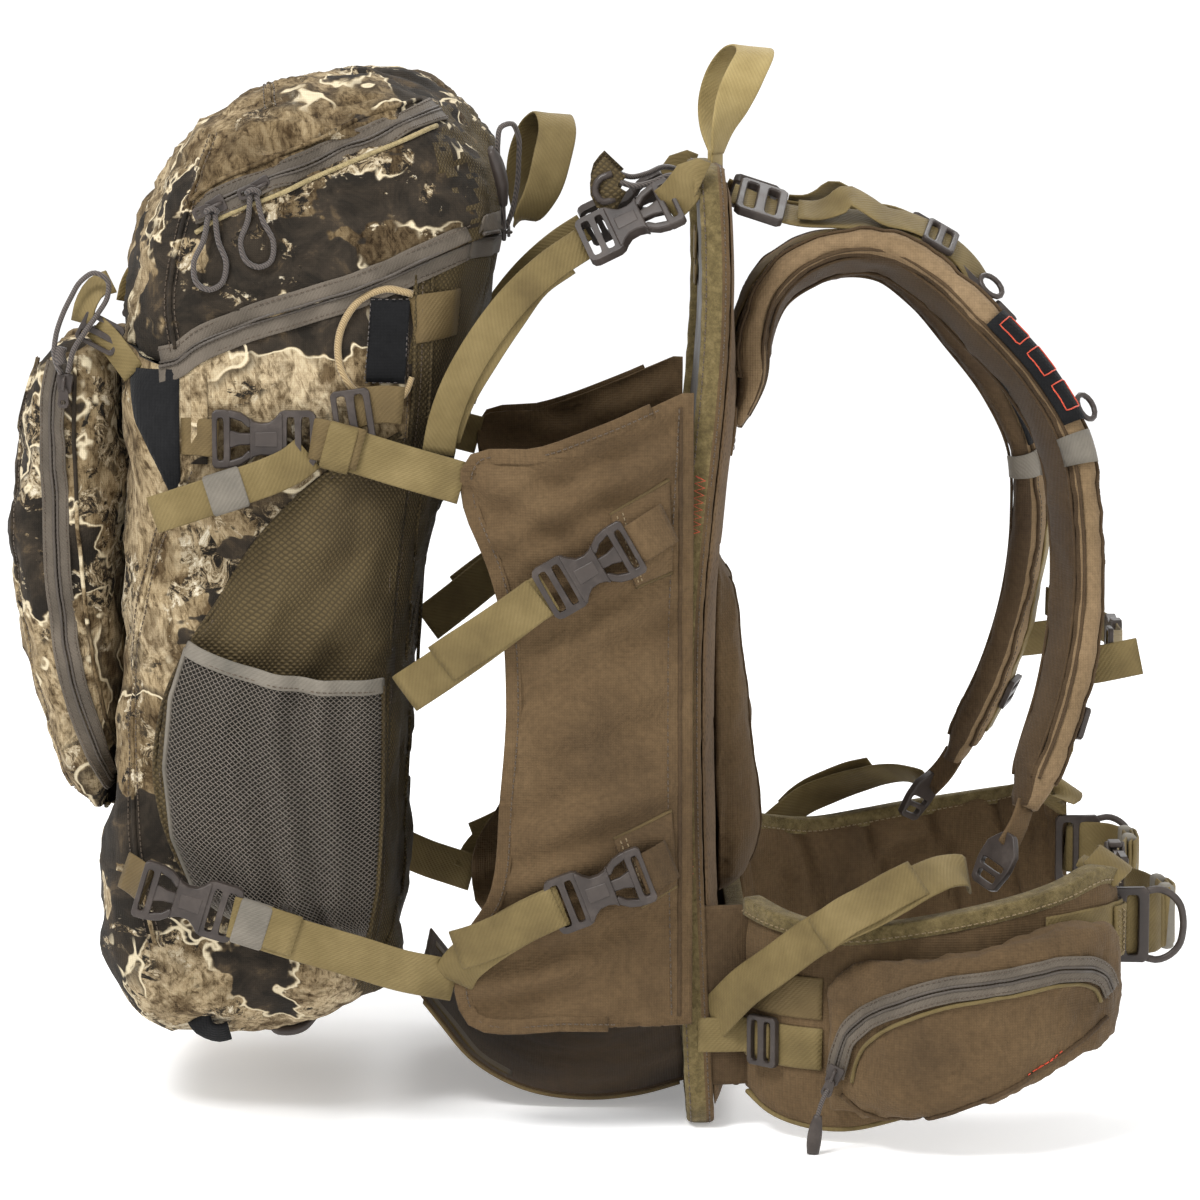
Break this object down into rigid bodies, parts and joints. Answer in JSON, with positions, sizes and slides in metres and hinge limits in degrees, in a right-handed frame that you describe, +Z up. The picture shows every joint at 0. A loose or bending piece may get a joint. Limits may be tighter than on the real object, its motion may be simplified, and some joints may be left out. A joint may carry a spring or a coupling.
{
  "type": "hunting frame pack",
  "caption": "Hunting backpack with a stand-off bag, side sling wings on an upright frame, padded shoulder straps and a hip belt with pockets.",
  "frame": {"origin": "middle of the bottom face of the frame's bound edge", "axes": "+X the wearer's forward direction, from the bag to the harness; +Y the wearer's left; +Z up along the frame"},
  "size_m": [0.706, 0.4642, 0.641],
  "materials": {
    "camo_fabric": "matt brushed polyester with a printed bark pattern",
    "brown_fabric": "matt plain nylon",
    "olive_fabric": "coarse ballistic weave",
    "webbing": "ribbed nylon webbing",
    "binding": "folded khaki tape",
    "mesh": "open knitted mesh",
    "hardware": "satin moulded acetal",
    "frame_sheet": "matt polyethylene sheet",
    "aluminium": "plain drawn tube"
  },
  "bodies": {
    "frame": {"frame_sheet": "frame_sheet", "back_panel": "brown_fabric", "frame_hoop": "aluminium", "edge_binding": "binding", "lumbar_pad": "brown_fabric", "belt_back": "brown_fabric", "load_shelf": "olive_fabric", "sling_wing_right": "brown_fabric", "wing_strap_right": "webbing", "wing_buckle_upper_right": "hardware", "wing_buckle_lower_right": "hardware", "top_strap_right": "webbing", "top_buckle_right": "hardware", "load_lifter_right": "webbing", "strap_webbing_right": "webbing", "sling_wing_left": "brown_fabric", "wing_strap_left": "webbing", "wing_buckle_upper_left": "hardware", "wing_buckle_lower_left": "hardware", "top_strap_left": "webbing", "top_buckle_left": "hardware", "load_lifter_left": "webbing", "strap_webbing_left": "webbing"},
    "haul_loop": {"haul_loop": "webbing"},
    "bag": {"bag_shell": "camo_fabric", "front_pocket": "camo_fabric", "mesh_pocket_right": "mesh", "bag_strap_upper_right": "webbing", "bag_strap_lower_right": "webbing", "bag_buckle_upper_right": "hardware", "bag_buckle_lower_right": "hardware", "mesh_pocket_left": "mesh", "bag_strap_upper_left": "webbing", "bag_strap_lower_left": "webbing", "bag_buckle_upper_left": "hardware", "bag_buckle_lower_left": "hardware"},
    "bag_loop": {"bag_loop": "webbing"},
    "lid": {"lid_shell": "camo_fabric"},
    "lid_slider": {"lid_slider": "hardware"},
    "main_slider": {"main_slider": "hardware"},
    "front_slider": {"front_slider": "hardware"},
    "shoulder": {"strap_pad_right": "brown_fabric", "strap_adjuster_right": "hardware", "strap_pad_left": "brown_fabric", "strap_adjuster_left": "hardware", "sternum_strap": "webbing"},
    "belt_right": {"belt_wing_right": "brown_fabric", "belt_pocket_right": "brown_fabric", "belt_ladder_right": "hardware", "belt_webbing_right": "webbing", "belt_buckle_male": "hardware"},
    "belt_left": {"belt_wing_left": "brown_fabric", "belt_pocket_left": "brown_fabric", "belt_ladder_left": "hardware", "belt_webbing_left": "webbing", "belt_buckle_female": "hardware"},
    "belt_prong_upper": {"belt_prong_upper": "hardware"},
    "belt_prong_lower": {"belt_prong_lower": "hardware"},
    "belt_slider_right": {"belt_slider_right": "hardware"},
    "belt_slider_left": {"belt_slider_left": "hardware"}
  },
  "joints": [
    {"name": "bag_compress", "type": "slide", "parent": "frame", "child": "bag", "axis": [1, 0, 0], "range_m": [0, 0.06], "deforming": ["sling_wing_right", "wing_strap_right", "top_strap_right", "sling_wing_left", "wing_strap_left", "top_strap_left", "load_shelf"]},
    {"name": "lid_hinge", "type": "hinge", "parent": "bag", "child": "lid", "pos_m": [-0.344, 0, 0.465], "axis": [0, -1, 0], "range_deg": [0, 75]},
    {"name": "bag_loop_fold", "type": "hinge", "parent": "bag", "child": "bag_loop", "pos_m": [-0.112, 0, 0.528], "axis": [0, 1, 0], "range_deg": [-8, 12], "stiffness_Nm_per_rad": 0.2},
    {"name": "haul_loop_fold", "type": "hinge", "parent": "frame", "child": "haul_loop", "pos_m": [0.008, 0, 0.5725], "axis": [0, 1, 0], "range_deg": [-45, 45], "stiffness_Nm_per_rad": 0.2},
    {"name": "lid_zip", "type": "slide", "parent": "lid", "child": "lid_slider", "axis": [0.9031, 0.0181, 0.429], "range_m": [0, 0.1]},
    {"name": "main_zip", "type": "slide", "parent": "bag", "child": "main_slider", "axis": [0, 1, 0], "range_m": [-0.035, 0.02]},
    {"name": "front_zip", "type": "slide", "parent": "bag", "child": "front_slider", "axis": [0.0363, 0, -0.9993], "range_m": [0, 0.11]},
    {"name": "shoulder_swing", "type": "hinge", "parent": "frame", "child": "shoulder", "pos_m": [0.026, 0, 0.445], "axis": [0, 1, 0], "range_deg": [-8, 10], "deforming": ["load_lifter_right", "load_lifter_left", "strap_webbing_right", "strap_webbing_left"]},
    {"name": "belt_open_right", "type": "hinge", "parent": "frame", "child": "belt_right", "pos_m": [0.026, -0.143, 0.08], "axis": [0, 0, -1], "range_deg": [0, 25]},
    {"name": "belt_open_left", "type": "hinge", "parent": "frame", "child": "belt_left", "pos_m": [0.026, 0.143, 0.08], "axis": [0, 0, 1], "range_deg": [0, 25]},
    {"name": "belt_zip_right", "type": "slide", "parent": "belt_right", "child": "belt_slider_right", "axis": [0.3401, -0.1546, 0.9276], "range_m": [0, 0.028]},
    {"name": "belt_zip_left", "type": "slide", "parent": "belt_left", "child": "belt_slider_left", "axis": [0.3401, 0.1546, 0.9276], "range_m": [0, 0.028]},
    {"name": "prong_squeeze_upper", "type": "hinge", "parent": "belt_right", "child": "belt_prong_upper", "pos_m": [0.262, -0.0042, 0.1335], "axis": [-1, 0, 0], "range_deg": [0, 8], "stiffness_Nm_per_rad": 0.5},
    {"name": "prong_squeeze_lower", "type": "hinge", "parent": "belt_right", "child": "belt_prong_lower", "pos_m": [0.262, -0.0042, 0.1025], "axis": [1, 0, 0], "range_deg": [0, 8], "stiffness_Nm_per_rad": 0.5}
  ],
  "couplings": [
    {"joint": "belt_open_left", "follows": "belt_open_right", "ratio": 1},
    {"joint": "prong_squeeze_lower", "follows": "prong_squeeze_upper", "ratio": 1}
  ]
}
